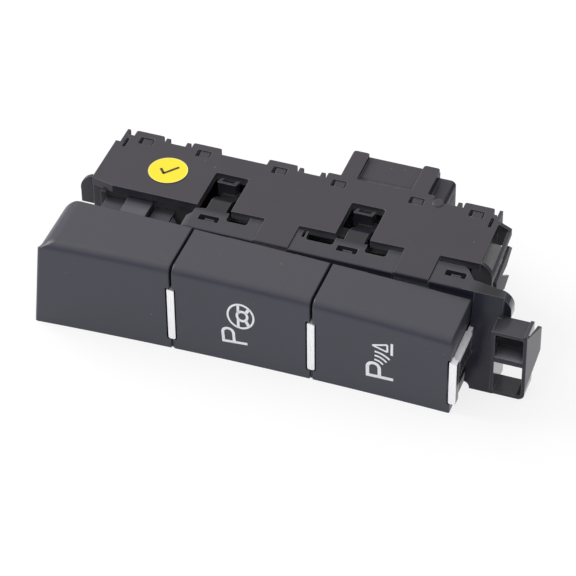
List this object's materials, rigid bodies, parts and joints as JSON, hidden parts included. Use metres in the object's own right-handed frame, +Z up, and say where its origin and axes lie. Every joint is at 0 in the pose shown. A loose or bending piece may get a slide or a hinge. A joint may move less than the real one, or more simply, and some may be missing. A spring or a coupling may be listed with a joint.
{
  "type": "parking assist switch",
  "caption": "Car console switch strip with a blank and sprung parking keys on a clip-on frame, and a snap housing with a connector socket behind.",
  "frame": {"origin": "middle of the underside of the bounding box", "axes": "+X along the strip from the blank to the end clip, +Y from the key faces to the connector, +Z up from the surface it lies on"},
  "size_m": [0.0836, 0.0402, 0.0174],
  "materials": {
    "housing_plastic": "fine spark texture",
    "frame_plastic": "fine spark texture",
    "cap_plastic": "soft satin",
    "bright_trim": "satin chrome plate",
    "board_laminate": "solder mask",
    "header_plastic": "plain",
    "pin_metal": "tin plate",
    "led_body": "gloss",
    "chip_body": "moulded",
    "capacitor_ceramic": "fired",
    "clear_guide": "clear",
    "dome_rubber": "matt silicone",
    "pill_rubber": "matt",
    "slider_plastic": "plain",
    "label_film": "semi gloss"
  },
  "bodies": {
    "housing": {"rear_cover": "housing_plastic", "housing_base": "housing_plastic", "front_frame": "frame_plastic", "blank_cap": "cap_plastic", "trim_strip_1": "bright_trim", "trim_strip_2": "bright_trim", "trim_strip_3": "bright_trim", "circuit_board": "board_laminate", "pin_header": "header_plastic", "connector_pins": "pin_metal", "symbol_leds": "led_body", "control_chip": "chip_body", "capacitors": "capacitor_ceramic", "resistors": "chip_body", "light_guide_1": "clear_guide", "light_guide_2": "clear_guide", "dome_mat_1": "dome_rubber", "dome_mat_2": "dome_rubber", "round_label": "label_film"},
    "steering_key": {"steering_key_cap": "cap_plastic", "key_slider_1": "slider_plastic", "contact_pills_1": "pill_rubber"},
    "sensor_key": {"sensor_key_cap": "cap_plastic", "key_slider_2": "slider_plastic", "contact_pills_2": "pill_rubber"}
  },
  "joints": [
    {"name": "steering_key_press", "type": "slide", "parent": "housing", "child": "steering_key", "axis": [0, 1, 0], "range_m": [0, 0.0005], "stiffness_N_per_m": 3500, "deforming": ["dome_mat_1"]},
    {"name": "sensor_key_press", "type": "slide", "parent": "housing", "child": "sensor_key", "axis": [0, 1, 0], "range_m": [0, 0.0005], "stiffness_N_per_m": 3500, "deforming": ["dome_mat_2"]}
  ]
}
